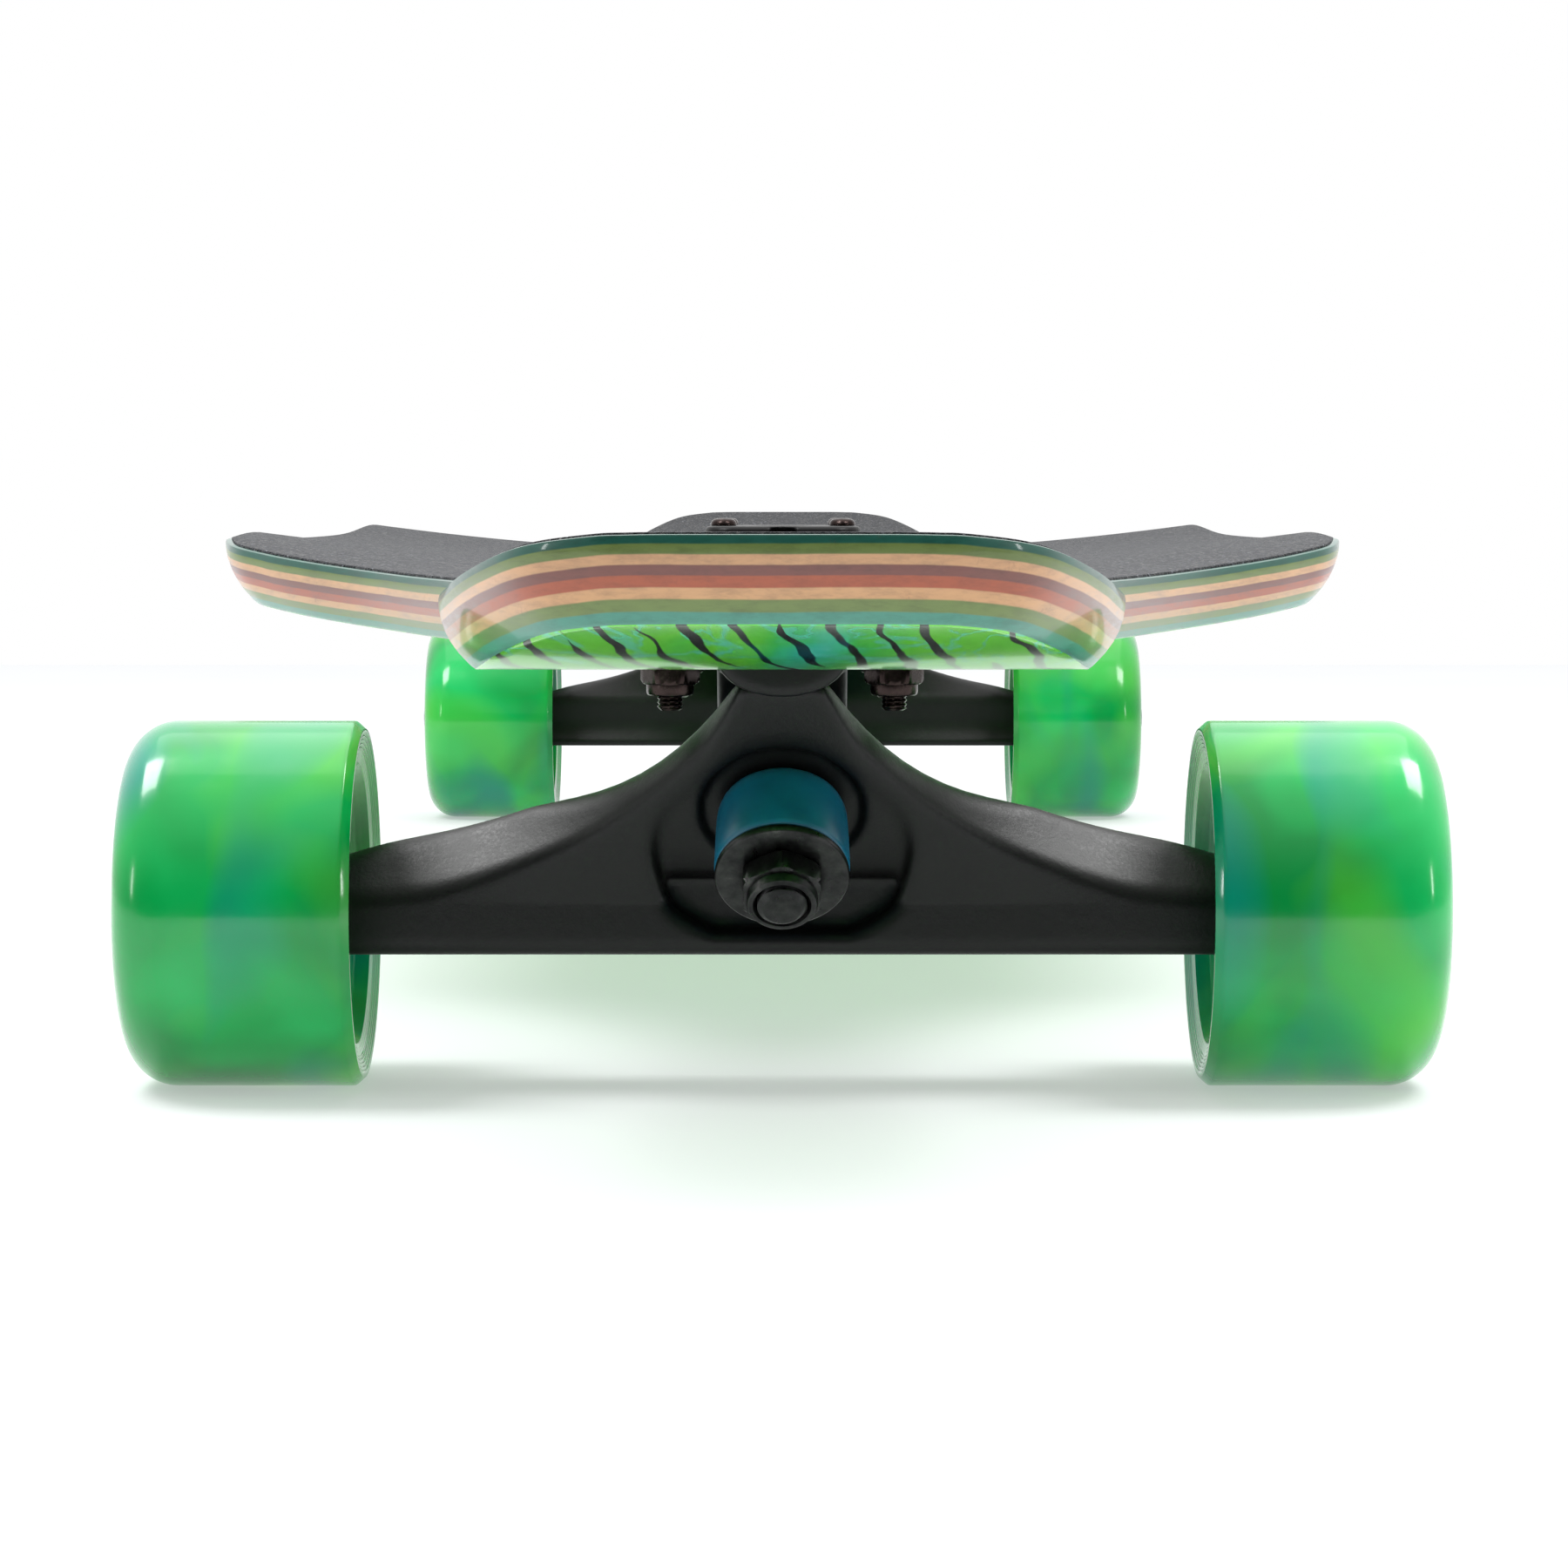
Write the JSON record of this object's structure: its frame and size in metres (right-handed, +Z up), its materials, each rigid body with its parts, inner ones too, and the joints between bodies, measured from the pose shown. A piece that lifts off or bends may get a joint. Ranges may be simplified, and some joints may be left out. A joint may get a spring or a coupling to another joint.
{
  "type": "longboard skateboard",
  "caption": "Drop-through longboard: pressed wood deck with grip tape, two reverse-kingpin trucks on urethane bushings and free-rolling urethane wheels.",
  "frame": {"origin": "on the ground, midway between the four wheels", "axes": "+Z up, +Y along the board towards its rear end, +X to the right as seen from the front end; front is -Y and left is -X"},
  "size_m": [0.255, 1.06, 0.108],
  "materials": {
    "deck_wood": "clear-coated hardwood laminate with dyed plies and a printed underside",
    "grip": "coarse black grit",
    "truck_metal": "satin black powder coat on cast aluminium",
    "black_hardware": "black oxide",
    "deck_hardware": "dark chrome",
    "axle_steel": "zinc plated",
    "bearing_steel": "ground steel",
    "bushing_urethane": "satin translucent blue",
    "pivot_urethane": "matte black",
    "wheel_urethane": "glossy green with cloudy swirls",
    "wheel_core": "moulded nylon"
  },
  "bodies": {
    "deck": {"deck": "deck_wood", "grip_tape": "grip", "front_outer_left_bolt": "deck_hardware", "front_outer_left_locknut": "deck_hardware", "front_outer_right_bolt": "deck_hardware", "front_outer_right_locknut": "deck_hardware", "front_inner_left_bolt": "deck_hardware", "front_inner_left_locknut": "deck_hardware", "front_inner_right_bolt": "deck_hardware", "front_inner_right_locknut": "deck_hardware", "front_baseplate": "truck_metal", "front_pivot_cup": "pivot_urethane", "front_kingpin": "black_hardware", "front_boardside_washer": "black_hardware", "front_boardside_bushing": "bushing_urethane", "front_roadside_bushing": "bushing_urethane", "front_roadside_washer": "black_hardware", "front_kingpin_nut": "black_hardware", "rear_outer_left_bolt": "deck_hardware", "rear_outer_left_locknut": "deck_hardware", "rear_outer_right_bolt": "deck_hardware", "rear_outer_right_locknut": "deck_hardware", "rear_inner_left_bolt": "deck_hardware", "rear_inner_left_locknut": "deck_hardware", "rear_inner_right_bolt": "deck_hardware", "rear_inner_right_locknut": "deck_hardware", "rear_baseplate": "truck_metal", "rear_pivot_cup": "pivot_urethane", "rear_kingpin": "black_hardware", "rear_boardside_washer": "black_hardware", "rear_boardside_bushing": "bushing_urethane", "rear_roadside_bushing": "bushing_urethane", "rear_roadside_washer": "black_hardware", "rear_kingpin_nut": "black_hardware"},
    "front_hanger": {"front_hanger": "truck_metal", "front_axle": "axle_steel", "front_left_axle_nut": "deck_hardware", "front_right_axle_nut": "deck_hardware"},
    "front_left_wheel": {"front_left_tyre": "wheel_urethane", "front_left_core": "wheel_core", "front_left_inner_bearing": "bearing_steel", "front_left_outer_bearing": "bearing_steel"},
    "front_right_wheel": {"front_right_tyre": "wheel_urethane", "front_right_core": "wheel_core", "front_right_inner_bearing": "bearing_steel", "front_right_outer_bearing": "bearing_steel"},
    "rear_hanger": {"rear_hanger": "truck_metal", "rear_axle": "axle_steel", "rear_left_axle_nut": "deck_hardware", "rear_right_axle_nut": "deck_hardware"},
    "rear_left_wheel": {"rear_left_tyre": "wheel_urethane", "rear_left_core": "wheel_core", "rear_left_inner_bearing": "bearing_steel", "rear_left_outer_bearing": "bearing_steel"},
    "rear_right_wheel": {"rear_right_tyre": "wheel_urethane", "rear_right_core": "wheel_core", "rear_right_inner_bearing": "bearing_steel", "rear_right_outer_bearing": "bearing_steel"}
  },
  "joints": [
    {"name": "front_steer", "type": "hinge", "parent": "deck", "child": "front_hanger", "pos_m": [0, -0.342, 0.035], "axis": [0, 0.8617, -0.5074], "range_deg": [-12, 12], "stiffness_Nm_per_rad": 80, "deforming": ["front_boardside_bushing", "front_roadside_bushing"]},
    {"name": "front_left_spin", "type": "hinge", "parent": "front_hanger", "child": "front_left_wheel", "pos_m": [-0.102, -0.36, 0.035], "axis": [1, 0, 0], "continuous": true},
    {"name": "front_right_spin", "type": "hinge", "parent": "front_hanger", "child": "front_right_wheel", "pos_m": [0.102, -0.36, 0.035], "axis": [1, 0, 0], "continuous": true},
    {"name": "rear_steer", "type": "hinge", "parent": "deck", "child": "rear_hanger", "pos_m": [0, 0.342, 0.035], "axis": [0, -0.8617, -0.5074], "range_deg": [-12, 12], "stiffness_Nm_per_rad": 80, "deforming": ["rear_boardside_bushing", "rear_roadside_bushing"]},
    {"name": "rear_left_spin", "type": "hinge", "parent": "rear_hanger", "child": "rear_left_wheel", "pos_m": [-0.102, 0.36, 0.035], "axis": [1, 0, 0], "continuous": true},
    {"name": "rear_right_spin", "type": "hinge", "parent": "rear_hanger", "child": "rear_right_wheel", "pos_m": [0.102, 0.36, 0.035], "axis": [1, 0, 0], "continuous": true}
  ]
}
